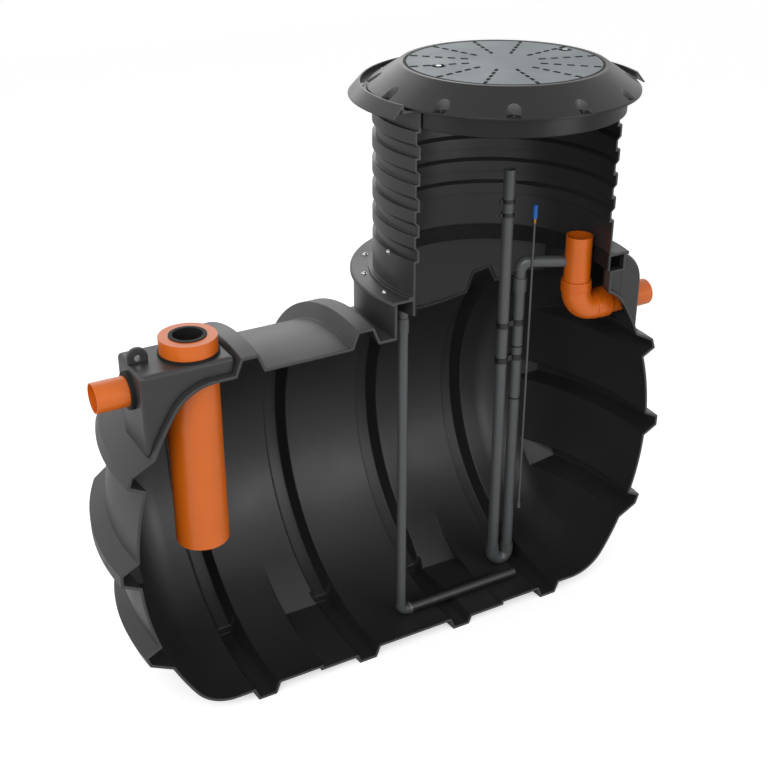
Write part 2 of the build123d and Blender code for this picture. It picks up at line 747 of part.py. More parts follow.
def outlet_pieces():
    """Outlet stub, its seal, the socket bend and the standpipe."""
    z = OUTLET_PIPE_Z
    low = z + BEND_RADIUS
    seal_end = OUTLET_BOX_END + SEAL_REACH
    stand_top = z + STAND_HEIGHT
    nodes = outlet_bend_pieces()
    nodes["outlet_standpipe"] = upright_tube(PIPE_OD / 2, PIPE_WALL, low, stand_top, STAND_X)
    nodes["outlet_pipe"] = stub_pipe(STAND_X + BEND_RADIUS, OUTLET_PIPE_END, seal_end, z)
    nodes["outlet_seal"] = pipe_seal(OUTLET_BOX_END, 1, z)
    return nodes


def air_pieces():
    """Air pipe down from the riser and the diffuser on the floor."""
    nodes = {}
    r = AIR_OD / 2
    ring_r = DIFFUSER_OD / 2 + RING_PROUD
    low = FLOOR_Z + ring_r + SEAT
    elbow_top = low + ELBOW_RADIUS
    nodes["air_pipe"] = upright_tube(r, AIR_WALL, elbow_top, NECK_TOP + AIR_RISE, AIR_X)
    sleeve_r = r + COUPLING_WALL
    middle = NECK_TOP - COUPLING_DROP
    sleeve_low = middle - COUPLING_LENGTH / 2
    sleeve_top = middle + COUPLING_LENGTH / 2
    nodes["air_coupling"] = upright_tube(sleeve_r, COUPLING_WALL, sleeve_low, sleeve_top, AIR_X)
    elbow_wall = COUPLING_WALL + AIR_WALL
    corner = (AIR_X, 0, elbow_top)
    nodes["air_elbow"] = quarter_bend(sleeve_r, ELBOW_RADIUS, elbow_wall, corner, (0, 0, -1), (1, 0, 0))
    start = AIR_X + ELBOW_RADIUS
    ring = level_tube(ring_r, ring_r - r + AIR_WALL, start, start + DIFFUSER_RING, low)
    nodes["diffuser_ring"] = ring
    tube_start = start + DIFFUSER_RING
    tube_end = tube_start + DIFFUSER_LENGTH
    nodes["diffuser"] = level_tube(DIFFUSER_OD / 2, 2 * AIR_WALL, tube_start, tube_end, low)
    nodes["air_pipe_clip"] = air_clip()
    return nodes


def air_clip():
    """Clip that ties the air pipe to the riser wall."""
    r = AIR_OD / 2 + SEAT
    low = NECK_TOP + CLIP_RISE
    top = low + CLIP_WIDTH
    half = CLIP_WIDTH / 2
    stem = block(NECK_X - RISER_RADIUS, AIR_X - r, -half, half, low, top)
    stem = stem & upright(RISER_RADIUS - RISER_WALL - SEAT, low, top, NECK_X)
    band = upright_tube(r + CLIP_BAND, CLIP_BAND, low, top, AIR_X)
    return (stem - upright(r, low - 1, top + 1, AIR_X)) + band


def lift_bend(radius, wall):
    """Return bend under the airlift, from the suction pipe to the lift pipe."""
    r = LIFT_BEND
    low = AXIS_HEIGHT - math.sqrt((INNER_BARREL - FITTING_OD / 2 - SEAT) ** 2 - LIFT_Y ** 2)
    half = math.sin(math.pi / 4)
    turn_x = RETURN_X - r
    turn_z = low + r
    join = (turn_x - r * half, 0, turn_z - r * half)
    run = join[0] - SUCTION_X - r * (1 - half)
    start_z = join[2] + run + r * half
    first_end = (SUCTION_X + r * (1 - half), 0, start_z - r * half)
    lean = math.pi / 8
    first_mid = (SUCTION_X + r * (1 - math.cos(lean)), 0, start_z - r * math.sin(lean))
    last_mid = (turn_x + r * math.sin(lean), 0, turn_z - r * math.cos(lean))
    top = (SUCTION_X, 0, start_z + FITTING_RISE)
    path = Polyline(top, (SUCTION_X, 0, start_z))
    path = path + ThreePointArc((SUCTION_X, 0, start_z), first_mid, first_end)
    path = path + Line(first_end, join)
    path = path + ThreePointArc(join, last_mid, (RETURN_X, 0, turn_z))
    path = path + Line((RETURN_X, 0, turn_z), (RETURN_X, 0, turn_z + FITTING_RISE))
    path = Pos(0, LIFT_Y, 0) * path
    plane = Plane(origin=(SUCTION_X, LIFT_Y, top[2]), z_dir=(0, 0, -1))
    bend = sweep(plane * Circle(radius), path=path) - sweep(plane * Circle(radius - wall), path=path)
    return bend, start_z, turn_z


def airlift_pieces():
    """Airlift pump: suction pipe, return bend, lift pipe and discharge."""
    nodes = {}
    r = LIFT_OD / 2
    fitting = FITTING_OD / 2
    fitting_wall = fitting - r - SEAT / 3
    bend, suction_low, return_low = lift_bend(fitting, fitting_wall)
    nodes["airlift_return_bend"] = bend
    suction = upright_tube(r, LIFT_WALL, suction_low, NECK_TOP + SUCTION_RISE, SUCTION_X, LIFT_Y)
    nodes["airlift_suction_pipe"] = suction
    top = RETURN_TOP
    nodes["airlift_lift_pipe"] = upright_tube(r, LIFT_WALL, return_low, top - LIFT_BEND, RETURN_X, LIFT_Y)
    low = NECK_TOP - LIFT_COUPLING_DROP
    coupling = upright_tube(fitting, fitting_wall, low, low + COUPLING_LENGTH, RETURN_X, LIFT_Y)
    nodes["airlift_coupling"] = coupling
    aim = Vector(STAND_X - RETURN_X, -LIFT_Y, 0)
    reach = aim.length - PIPE_OD / 2 - SEAT - LIFT_BEND
    aim = aim.normalized()
    start = (RETURN_X, LIFT_Y, top - LIFT_BEND)
    elbow = quarter_bend(fitting, LIFT_BEND, fitting - r + LIFT_WALL, start, (0, 0, 1), (aim.X, aim.Y, 0))
    nodes["airlift_elbow"] = elbow
    leave = Vector(RETURN_X, LIFT_Y, top) + aim * LIFT_BEND
    plane = Plane(origin=leave, z_dir=aim)
    ring = Circle(r) - Circle(r - LIFT_WALL)
    arm = extrude(plane * ring, amount=reach + PIPE_OD / 4)
    nodes["airlift_discharge_pipe"] = arm - upright(PIPE_OD / 2 + SEAT, 0, BIG, STAND_X)
    for name, drop in zip(("airlift_bracket_low", "airlift_bracket_high"), BRACKET_DROPS):
        nodes[name] = lift_bracket(NECK_TOP - drop)
    clips = [suction_clip(NECK_TOP + rise) for rise in PIPE_CLIP_RISES]
    nodes["suction_pipe_clips"] = Compound(children=clips)
    return nodes


def lift_bracket(z):
    """Bracket that holds the suction and lift pipes apart."""
    r = LIFT_OD / 2 + SEAT
    half = BRACKET_THICK / 2
    bar = block(SUCTION_X, RETURN_X, LIFT_Y - half, LIFT_Y + half, z, z + CLIP_WIDTH)
    for x in (SUCTION_X, RETURN_X):
        bar = bar + upright(r + CLIP_BAND, z, z + CLIP_WIDTH, x, LIFT_Y)
    for x in (SUCTION_X, RETURN_X):
        bar = bar - upright(r, z - 1, z + CLIP_WIDTH + 1, x, LIFT_Y)
    return bar


def suction_clip(z):
    """Clip band round the suction pipe with an ear on each side."""
    r = LIFT_OD / 2 + SEAT
    reach = r + PIPE_CLIP_EAR
    top = z + PIPE_CLIP_HEIGHT
    ears = block(SUCTION_X - reach, SUCTION_X + reach, LIFT_Y - CLIP_BAND, LIFT_Y + CLIP_BAND, z, top)
    clip = ears + upright(r + CLIP_BAND, z, top, SUCTION_X, LIFT_Y)
    return clip - upright(r, z - 1, top + 1, SUCTION_X, LIFT_Y)


def hose_pieces():
    """Thin air hose beside the lift pipe, with its coloured connector."""
    nodes = {}
    aim = Vector(STAND_X - RETURN_X, -LIFT_Y, 0).normalized()
    front = LIFT_OD / 2 + SEAT + HOSE_OD / 2
    x = RETURN_X + aim.X * HOSE_SIDE + aim.Y * front
    y = LIFT_Y + aim.Y * HOSE_SIDE - aim.X * front
    low = FLOOR_Z + HOSE_LOW_RISE
    top = NECK_TOP + HOSE_TOP_RISE
    nodes["airlift_air_hose"] = upright(HOSE_OD / 2, low, top, x, y)
    nodes["hose_connector"] = upright(HANDLE_OD / 2, top, top + HANDLE_LENGTH, x, y)
    return nodes


def lifting_eye(x, y, z):
    """Upright lifting eye with a round hole."""
    half = EYE_WIDTH / 2
    low = block(x - half, x + half, y - EYE_THICK / 2, y + EYE_THICK / 2, z, z + EYE_HEIGHT - half)
    plane = Plane(origin=(x, y + EYE_THICK / 2, z + EYE_HEIGHT - half), x_dir=(1, 0, 0), z_dir=(0, -1, 0))
    round_top = extrude(plane * Circle(half), amount=EYE_THICK)
    round_top = round_top & block(x - half, x + half, y - half, y + half, z, z + EYE_HEIGHT)
    hole = extrude(plane * Pos(0, 0, -1) * Circle(EYE_HOLE / 2), amount=EYE_THICK + 2)
    return low + round_top - hole


def build_nodes():
    """Every named piece of the plant."""
    nodes = tank_shell()
    nodes.update(riser_pieces())
    nodes["riser_collar"] = riser_collar()
    nodes["lid_frame"] = lid_frame()
    nodes["lid_frame_spigot"] = lid_spigot()
    nodes["lid_plate"] = lid_plate()
    nodes["lid_fasteners"] = lid_fasteners()
    nodes.update(inlet_pieces())
    nodes.update(outlet_pieces())
    nodes.update(air_pieces())
    nodes.update(airlift_pieces())
    nodes.update(hose_pieces())
    nodes["inlet_lifting_eye"] = lifting_eye(INLET_BOX_END + INLET_EYE_INSET, 0, BOX_TOP)
    beside_riser = NECK_X + RISER_RADIUS + RISER_FOOT_LIP + EYE_WIDTH / 2
    nodes["outlet_lifting_eye"] = lifting_eye(beside_riser, 0, NECK_TOP)
    return nodes


os.makedirs("parts", exist_ok=True)
for name, piece in build_nodes().items():
    piece.label = name
    export_step(piece, f"parts/{name}.step")
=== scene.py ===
"""Looks of a cutaway sewage treatment plant: finishes, small fixings, lid pattern and studio."""

import logging
import math
from dataclasses import dataclass, field
from enum import Enum
from typing import Optional, Sequence, Union

import bmesh
import bpy
from mathutils import Matrix, Vector

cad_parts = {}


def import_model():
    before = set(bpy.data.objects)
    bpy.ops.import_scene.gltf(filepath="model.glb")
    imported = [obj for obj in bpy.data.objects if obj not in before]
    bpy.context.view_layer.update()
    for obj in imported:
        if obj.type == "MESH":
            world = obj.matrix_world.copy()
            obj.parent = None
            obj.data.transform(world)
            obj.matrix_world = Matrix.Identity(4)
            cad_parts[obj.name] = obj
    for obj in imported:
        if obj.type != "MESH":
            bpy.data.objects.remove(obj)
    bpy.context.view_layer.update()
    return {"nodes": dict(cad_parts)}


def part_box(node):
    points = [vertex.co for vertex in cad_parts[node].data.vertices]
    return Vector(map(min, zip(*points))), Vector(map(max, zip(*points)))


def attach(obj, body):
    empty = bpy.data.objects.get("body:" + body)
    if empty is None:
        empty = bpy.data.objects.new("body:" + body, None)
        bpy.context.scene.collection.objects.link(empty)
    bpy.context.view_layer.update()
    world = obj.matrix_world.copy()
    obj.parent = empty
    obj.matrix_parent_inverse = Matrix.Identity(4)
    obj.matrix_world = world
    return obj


Point = tuple[float, float, float]
Colour = tuple[float, float, float, float]
Section = list[tuple[float, float]]
Shape = tuple[list[Point], list[tuple[int, ...]]]
Nodes = dict[str, bpy.types.Object]
Looks = dict[str, bpy.types.Material]

LOG = logging.getLogger("treatment_plant")
MM = 0.001
WHITE: Colour = (1.0, 1.0, 1.0, 1.0)
TANK_AXIS: Point = (0.0, 0.0, 0.751)
SHAFT_AXIS: Point = (0.428, 0.0, 0.0)
SHAFT_X_MM = 428.0
WASHER_MM = 1.6
WELD_MM = 0.001
SHARP_DEG = 35.0


class Region(Enum):
    """The axis about which a moulded shell's inside and outside are told apart.

    Each value is how much the way from that axis counts along X, Y and Z: the domes' length
    counts a little, and the height of the shaft doesn't count.
    """

    TANK = (0.35, 1.0, 1.0)
    SHAFT = (1.0, 1.0, 0.0)


def linear(code: str) -> Colour:
    """Turn an sRGB hex colour into linear light.

    Args:
        code: Six hex digits, such as "e8651a".

    Returns:
        Red, green, blue and an alpha of 1.
    """
    parts = [int(code[i:i + 2], 16) / 255 for i in (0, 2, 4)]
    light = [c / 12.92 if c <= 0.04045 else ((c + 0.055) / 1.055) ** 2.4 for c in parts]
    return (light[0], light[1], light[2], 1.0)


def add_node(tree: bpy.types.NodeTree, kind: str, settings: Optional[dict] = None,
             inputs: Optional[dict] = None) -> bpy.types.Node:
    """Add one node with its settings, values and links.

    Args:
        tree: The node tree that gets the node.
        kind: The node's type name.
        settings: Attribute names and their values.
        inputs: Input names or numbers, each with a value or a socket to link from.

    Returns:
        The new node.
    """
    node = tree.nodes.new(kind)
    for name, value in (settings or {}).items():
        setattr(node, name, value)
    for key, value in (inputs or {}).items():
        if isinstance(value, bpy.types.NodeSocket):
            tree.links.new(value, node.inputs[key])
        else:
            node.inputs[key].default_value = value
    return node


@dataclass(frozen=True)
class Finish:
    """A real material: its colours, gloss and surface grain."""

    name: str
    colour: str
    shade: str
    roughness: float
    ior: float = 1.5
    metallic: float = 0.0
    mottle_mm: float = 60.0
    octaves: float = 3.0
    gloss_patches: float = 1.7
    smoother: float = 0.05
    rougher: float = 0.06
    grain_mm: float = 1.2
    grain_depth_mm: float = 0.04
    grain_strength: float = 0.35
    edge_mm: float = 0.0
    seam_axis: str = "X"
    seams_mm: tuple[float, ...] = ()
    seam_clear_mm: float = 1.0

    def start(self) -> tuple[bpy.types.Material, bpy.types.NodeTree, bpy.types.Node]:
        """Make the empty material with its shader.

        Returns:
            The material, its node tree and its shader node.
        """
        material = bpy.data.materials.new(self.name)
        material.use_nodes = True
        tree = material.node_tree
        shader = tree.nodes["Principled BSDF"]
        shader.inputs["Metallic"].default_value = self.metallic
        if self.metallic < 0.5:
            shader.inputs["IOR"].default_value = self.ior
        material.diffuse_color = linear(self.colour)
        return material, tree, shader

    def noise(self, tree: bpy.types.NodeTree, size_mm: float) -> bpy.types.Node:
        """Noise on Object coordinates at a real size.

        Args:
            tree: The material's node tree.
            size_mm: Width of one blotch in millimetres.

        Returns:
            The noise node.
        """
        place = add_node(tree, "ShaderNodeTexCoord")
        return add_node(tree, "ShaderNodeTexNoise", None, {
            "Vector": place.outputs["Object"], "Scale": 1 / (size_mm * MM),
            "Detail": self.octaves})

    def relief(self, tree: bpy.types.NodeTree, shader: bpy.types.Node) -> None:
        """Give the shader its grain, and softened edges where it has them.

        Args:
            tree: The material's node tree.
            shader: The shader node.
        """
        grain = self.noise(tree, self.grain_mm)
        bump = add_node(tree, "ShaderNodeBump", None, {
            "Height": grain.outputs["Fac"], "Strength": self.grain_strength,
            "Distance": self.grain_depth_mm * MM})
        if self.edge_mm > 0:
            tree.links.new(self.soft_edges(tree), bump.inputs["Normal"])
        tree.links.new(bump.outputs["Normal"], shader.inputs["Normal"])

    def soft_edges(self, tree: bpy.types.NodeTree) -> bpy.types.NodeSocket:
        """Round the moulded corners, but not where one moulding is kept as two pieces.

        Args:
            tree: The material's node tree.

        Returns:
            The normal socket.
        """
        soft = add_node(tree, "ShaderNodeBevel", {"samples": 4}, {"Radius": self.edge_mm * MM})
        if not self.seams_mm:
            return soft.outputs["Normal"]
        place = add_node(tree, "ShaderNodeTexCoord")
        parts = add_node(tree, "ShaderNodeSeparateXYZ", None, {0: place.outputs["Object"]})
        away: Union[float, bpy.types.NodeSocket] = 1.0
        for seam in self.seams_mm:
            step = add_node(tree, "ShaderNodeMath", {"operation": "SUBTRACT"}, {
                0: parts.outputs[self.seam_axis], 1: seam * MM})
            gap = add_node(tree, "ShaderNodeMath", {"operation": "ABSOLUTE"}, {
                0: step.outputs[0]})
            clear = add_node(tree, "ShaderNodeMath", {"operation": "GREATER_THAN"}, {
                0: gap.outputs[0], 1: (self.edge_mm + self.seam_clear_mm) * MM})
            both = add_node(tree, "ShaderNodeMath", {"operation": "MULTIPLY"}, {
                0: clear.outputs[0], 1: away})
            away = both.outputs[0]
        flat = add_node(tree, "ShaderNodeNewGeometry")
        mix = add_node(tree, "ShaderNodeMix", {"data_type": "VECTOR"}, {
            "Factor": away, 4: flat.outputs["Normal"], 5: soft.outputs["Normal"]})
        return mix.outputs[1]

    def gloss(self, tree: bpy.types.NodeTree, shader: bpy.types.Node) -> None:
        """Vary the roughness a little, as handled plastic and metal do.

        Args:
            tree: The material's node tree.
            shader: The shader node.
        """
        patches = self.noise(tree, self.mottle_mm * self.gloss_patches)
        spread = add_node(tree, "ShaderNodeMapRange", None, {
            "Value": patches.outputs["Fac"], "From Min": 0.3, "From Max": 0.7,
            "To Min": self.roughness - self.smoother, "To Max": self.roughness + self.rougher})
        tree.links.new(spread.outputs["Result"], shader.inputs["Roughness"])

    def tint(self, tree: bpy.types.NodeTree, light: str, dark: str) -> bpy.types.NodeSocket:
        """Blend two close colours in soft blotches.

        Args:
            tree: The material's node tree.
            light: Hex colour of most of the surface.
            dark: Hex colour of the blotches.

        Returns:
            The colour socket.
        """
        patches = self.noise(tree, self.mottle_mm)
        mix = add_node(tree, "ShaderNodeMix", {"data_type": "RGBA"}, {
            "Factor": patches.outputs["Fac"], 6: linear(light), 7: linear(dark)})
        return mix.outputs[2]

    def surface(self, tree: bpy.types.NodeTree) -> bpy.types.NodeSocket:
        """Colour the whole surface.

        Args:
            tree: The material's node tree.

        Returns:
            The colour socket.
        """
        return self.tint(tree, self.colour, self.shade)

    def build(self) -> bpy.types.Material:
        """Build the material.

        Returns:
            The finished material.
        """
        material, tree, shader = self.start()
        tree.links.new(self.surface(tree), shader.inputs["Base Color"])
        self.gloss(tree, shader)
        self.relief(tree, shader)
        return material


@dataclass(frozen=True)
class CutFinish(Finish):
    """A moulded shell with its own colours outside and on the sawn face, and painted shading
    inside that stands in for the light and shade within it.
    """

    # Painted shading of the inside: by default darker than the outside, as shade within the
    # closed tank.
    inside: str = "232324"
    inside_shade: str = "2a2a2b"
    sawn: str = "3a3a3b"
    region: Region = Region.TANK
    centre: Point = TANK_AXIS
    facing_limit: float = -0.02
    saw_y_m: float = -0.145
    saw_slack_m: float = 0.0006

    def outward(self, tree: bpy.types.NodeTree) -> bpy.types.NodeSocket:
        """Measure how much a surface faces away from the shell's axis.

        Args:
            tree: The material's node tree.

        Returns:
            A value socket, above zero outside and below zero inside.
        """
        place = add_node(tree, "ShaderNodeTexCoord")
        shape = add_node(tree, "ShaderNodeNewGeometry")
        arm = add_node(tree, "ShaderNodeVectorMath", {"operation": "SUBTRACT"}, {
            0: place.outputs["Object"], 1: self.centre})
        flat = add_node(tree, "ShaderNodeVectorMath", {"operation": "MULTIPLY"}, {
            0: arm.outputs[0], 1: self.region.value})
        unit = add_node(tree, "ShaderNodeVectorMath", {"operation": "NORMALIZE"}, {
            0: flat.outputs[0]})
        dot = add_node(tree, "ShaderNodeVectorMath", {"operation": "DOT_PRODUCT"}, {
            0: unit.outputs[0], 1: shape.outputs["True Normal"]})
        return dot.outputs["Value"]

    def surface(self, tree: bpy.types.NodeTree) -> bpy.types.NodeSocket:
        """Colour the outside, the inside with its painted shading, and the sawn face.

        Args:
            tree: The material's node tree.

        Returns:
            The colour socket.
        """
        out = self.tint(tree, self.colour, self.shade)
        # Painted shading: the inside gets its own colour, told apart by which way the surface
        # faces.
        within = self.tint(tree, self.inside, self.inside_shade)
        side = add_node(tree, "ShaderNodeMath", {"operation": "GREATER_THAN"}, {
            0: self.outward(tree), 1: self.facing_limit})
        skin = add_node(tree, "ShaderNodeMix", {"data_type": "RGBA"}, {
            "Factor": side.outputs[0], 6: within, 7: out})
        place = add_node(tree, "ShaderNodeTexCoord")
        parts = add_node(tree, "ShaderNodeSeparateXYZ", None, {0: place.outputs["Object"]})
        near = add_node(tree, "ShaderNodeMath", {"operation": "LESS_THAN"}, {
            0: parts.outputs["Y"], 1: self.saw_y_m + self.saw_slack_m})
        cut = add_node(tree, "ShaderNodeMix", {"data_type": "RGBA"}, {
            "Factor": near.outputs[0], 6: skin.outputs[2], 7: linear(self.sawn)})
        return cut.outputs[2]


@dataclass(frozen=True)
class PocketFinish(Finish):
    """The lid frame, with a painted highlight on the upright walls of its pockets."""

    # Painted highlight colour of the pockets' upright walls.
    pocket_highlight: str = "626263"
    centre: Point = SHAFT_AXIS
    rim_m: float = 0.501
    floor_m: float = 2.3035
    upright_limit: float = 0.1

    def surface(self, tree: bpy.types.NodeTree) -> bpy.types.NodeSocket:
        """Colour the cone, with a painted highlight on the upright walls of its pockets.

        Args:
            tree: The material's node tree.

        Returns:
            The colour socket.
        """
        place = add_node(tree, "ShaderNodeTexCoord")
        shape = add_node(tree, "ShaderNodeNewGeometry")
        arm = add_node(tree, "ShaderNodeVectorMath", {"operation": "SUBTRACT"}, {
            0: place.outputs["Object"], 1: self.centre})
        flat = add_node(tree, "ShaderNodeVectorMath", {"operation": "MULTIPLY"}, {
            0: arm.outputs[0], 1: Region.SHAFT.value})
        reach = add_node(tree, "ShaderNodeVectorMath", {"operation": "LENGTH"}, {
            0: flat.outputs[0]})
        facing = add_node(tree, "ShaderNodeSeparateXYZ", None, {0: shape.outputs["True Normal"]})
        height = add_node(tree, "ShaderNodeSeparateXYZ", None, {0: place.outputs["Object"]})
        tilt = add_node(tree, "ShaderNodeMath", {"operation": "ABSOLUTE"}, {
            0: facing.outputs["Z"]})
        upright = add_node(tree, "ShaderNodeMath", {"operation": "LESS_THAN"}, {
            0: tilt.outputs[0], 1: self.upright_limit})
        within = add_node(tree, "ShaderNodeMath", {"operation": "LESS_THAN"}, {
            0: reach.outputs["Value"], 1: self.rim_m})
        above = add_node(tree, "ShaderNodeMath", {"operation": "GREATER_THAN"}, {
            0: height.outputs["Z"], 1: self.floor_m})
        both = add_node(tree, "ShaderNodeMath", {"operation": "MULTIPLY"}, {
            0: upright.outputs[0], 1: within.outputs[0]})
        # The pockets' upright walls get the painted highlight.
        pocket_highlight = add_node(tree, "ShaderNodeMath", {"operation": "MULTIPLY"}, {
            0: both.outputs[0], 1: above.outputs[0]})
        mix = add_node(tree, "ShaderNodeMix", {"data_type": "RGBA"}, {
            "Factor": pocket_highlight.outputs[0], 6: self.tint(tree, self.colour, self.shade),
            7: linear(self.pocket_highlight)})
        return mix.outputs[2]


def finishes() -> Looks:
    """Build every material of the plant.

    Returns:
        Materials by the names that the sub-assemblies use.
    """
    made: list[tuple[str, Finish]] = [
        # Rotomoulded black polyethylene: waxy, slightly uneven wall with soft corners and a
        # satin sheen. The seams are where the one real moulding is kept as several nodes.
        # Its inside keeps the default painted shade, darker than the outside.
        ("tank", CutFinish("rotomoulded_polyethylene", "2b2b2c", "323233", 0.4, edge_mm=9.0,
                           region=Region.TANK, centre=TANK_AXIS, mottle_mm=180.0,
                           seams_mm=(-820.0, -460.0, 0.0, 460.0, 820.0))),
        # The same resin on the neck, read about the upright shaft; its inside is painted
        # lighter, as light on the neck's inner wall.
        ("neck", CutFinish("rotomoulded_polyethylene_neck", "2b2b2c", "323233", 0.4,
                           edge_mm=9.0, inside="2e2e2f", inside_shade="353536",
                           region=Region.SHAFT, centre=SHAFT_AXIS, mottle_mm=180.0)),
        # Injection-moulded polyethylene shaft: tighter surface, a little glossier. Its inside is
        # painted lighter, as light on the shaft's inner ribs.
        ("shaft", CutFinish("moulded_polyethylene_shaft", "262627", "2c2c2d", 0.34,
                            edge_mm=5.0, inside="2e2e2f", inside_shade="343435",
                            region=Region.SHAFT, centre=SHAFT_AXIS, mottle_mm=140.0,
                            seam_axis="Z", seams_mm=(1740.0, 1932.0, 2124.0))),
        # Lid frame in the same resin: a darker cone, with a painted highlight on the upright
        # walls of its pockets.
        ("frame", PocketFinish("moulded_polyethylene_frame", "111112", "161617", 0.34,
                               ior=1.42, edge_mm=5.0, mottle_mm=140.0)),
        # Cast composite lid plate, grey-green and matt with a fine grit.
        ("lid", Finish("cast_composite_lid", "737d81", "7c868a", 0.5, grain_mm=2.0,
                       grain_depth_mm=0.12, mottle_mm=90.0)),
        # Raised anti-slip dashes of the lid: near black and dull against the grey plate.
        ("mark", Finish("cast_composite_recess", "0b1416", "101b1d", 0.85, ior=1.3,
                        mottle_mm=30.0)),
        # Extruded orange sewer PVC: smooth, faint die lines and a soft gloss.
        ("orange", Finish("extruded_sewer_pvc", "de6c12", "d4620c", 0.32, ior=1.53,
                          mottle_mm=120.0, grain_mm=3.0, grain_depth_mm=0.02)),
        # Extruded grey pressure PVC: even and satin.
        ("grey", Finish("extruded_grey_pvc", "515354", "4a4b4c", 0.36, ior=1.53,
                        mottle_mm=80.0)),
        # Moulded sealing rubber: deep black and dull.
        ("rubber", Finish("sealing_rubber", "090909", "0e0e0e", 0.7, ior=1.4, mottle_mm=20.0)),
        # Moulded black nylon of ties, clips, pocket screws and the diffuser: a soft gloss.
        ("nylon", Finish("black_nylon", "161617", "1b1b1c", 0.4, mottle_mm=20.0)),
        # Stainless steel of the screws, bolts and lid fasteners: bright and clean.
        ("steel", Finish("stainless_steel", "c9cacc", "b4b6b9", 0.25, metallic=1.0,
                         mottle_mm=8.0)),
        # Turned brass of the small hose ferrule: warm and bright.
        ("brass", Finish("turned_brass", "b5893f", "a47a35", 0.28, metallic=1.0,
                         mottle_mm=8.0)),
        # Moulded, dyed acetal of the hose connector: an even blue gloss.
        ("blue", Finish("blue_acetal", "1565b5", "115aa6", 0.3, mottle_mm=15.0)),
    ]
    return {key: finish.build() for key, finish in made}


def mesh_object(name: str, shape: Shape, material: bpy.types.Material) -> bpy.types.Object:
    """Make a mesh piece at the origin with its place in its vertices.

    Args:
        name: Name of the piece.
        shape: Points in metres, and the corner numbers of each face.
        material: The finish of the piece.

    Returns:
        The new object.
    """
    vertices, faces = shape
    mesh = bpy.data.meshes.new(name)
    mesh.from_pydata(vertices, [], faces)
    work = bmesh.new()
    work.from_mesh(mesh)
    bmesh.ops.remove_doubles(work, verts=work.verts, dist=WELD_MM * MM)
    bmesh.ops.dissolve_degenerate(work, edges=work.edges, dist=WELD_MM * MM)
    bmesh.ops.recalc_face_normals(work, faces=work.faces)
    work.to_mesh(mesh)
    work.free()
    mesh.materials.append(material)
    mesh.shade_smooth()
    mesh.set_sharp_from_angle(angle=math.radians(SHARP_DEG))
    piece = bpy.data.objects.new(name, mesh)
    bpy.context.scene.collection.objects.link(piece)
    return piece


def keep(piece: bpy.types.Object) -> None:
    """Fasten a piece to the plant.

    Args:
        piece: The piece.
    """
    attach(piece, "root")
    LOG.info("made %s with %d faces", piece.name, len(piece.data.polygons))


def turned(profile: Section, matrix: Matrix, steps: int = 48) -> Shape:
    """Turn a profile about its own axis.

    Args:
        profile: Radius and height pairs in millimetres, going round the section.
        matrix: Where the axis (local Z) lies, in metres.
        steps: Facets round the axis.

    Returns:
        Vertices in metres and faces.
    """
    vertices: list[Point] = []
    faces: list[tuple[int, ...]] = []
    count = len(profile)
    for i in range(steps):
        angle = 2 * math.pi * i / steps
        for radius, height in profile:
            flat = (radius * math.cos(angle), radius * math.sin(angle), height)
            vertices.append(tuple(matrix @ (Vector(flat) * MM)))
    for i in range(steps):
        here, there = i * count, ((i + 1) % steps) * count
        for j in range(count):
            after = (j + 1) % count
            faces.append((here + j, there + j, there + after, here + after))
    return vertices, faces


def axis_at(place_mm: Point, direction: Point = (0.0, 0.0, 1.0)) -> Matrix:
    """Place a local Z axis.

    Args:
        place_mm: Where its zero lies, in millimetres.
        direction: Where it points.

    Returns:
        The matrix in metres.
    """
    turn = Vector(direction).to_track_quat("Z", "Y").to_matrix().to_4x4()
    return Matrix.Translation(Vector(place_mm) * MM) @ turn


def around(places: Sequence[tuple[Matrix, Section]], steps: int = 40) -> Shape:
    """Turn several profiles, each about its own axis, into one list of faces.

    Args:
        places: Each axis with the profile turned about it.
        steps: Facets round each axis.

    Returns:
        Vertices in metres and faces.
    """
    vertices: list[Point] = []
    faces: list[tuple[int, ...]] = []
    for matrix, profile in places:
        more, rings = turned(profile, matrix, steps)
        base = len(vertices)
        vertices += more
        faces += [tuple(base + i for i in ring) for ring in rings]
    return vertices, faces


def cut_band(section: Section, centre_x: float, front: float, steps: int = 72) -> Shape:
    """Ring band about an upright axis, sawn off flat in front.

    Args:
        section: Radius and height in millimetres of the band's four corners.
        centre_x: X of the axis in millimetres.
        front: Y of the sawn face in millimetres.
        steps: Facets round the band.

    Returns:
        Vertices in metres and faces.
    """
    vertices: list[Point] = []
    for i in range(steps + 1):
        for radius, height in section:
            start = math.asin(front / radius)
            angle = start + (math.pi - 2 * start) * i / steps
            vertices.append(((centre_x + radius * math.cos(angle)) * MM,
                             radius * math.sin(angle) * MM, height * MM))
    faces: list[tuple[int, ...]] = [(0, 1, 2, 3)]
    for i in range(steps):
        here, there = 4 * i, 4 * i + 4
        for j in range(4):
            after = (j + 1) % 4
            faces.append((here + j, here + after, there + after, there + j))
    last = 4 * steps
    faces.append((last + 3, last + 2, last + 1, last))
    return vertices, faces


def tube_profile(inner: float, outer: float, low: float, high: float) -> Section:
    """Section of a ring or tube with slightly broken corners.

    Args:
        inner: Inner radius in millimetres.
        outer: Outer radius in millimetres.
        low: Lower end in millimetres.
        high: Upper end in millimetres.

    Returns:
        Radius and height pairs.
    """
    broken = 0.18
    chip = min(outer - inner, high - low) * broken
    return [(inner, low), (outer - chip, low), (outer, low + chip), (outer, high - chip),
            (outer - chip, high), (inner, high)]


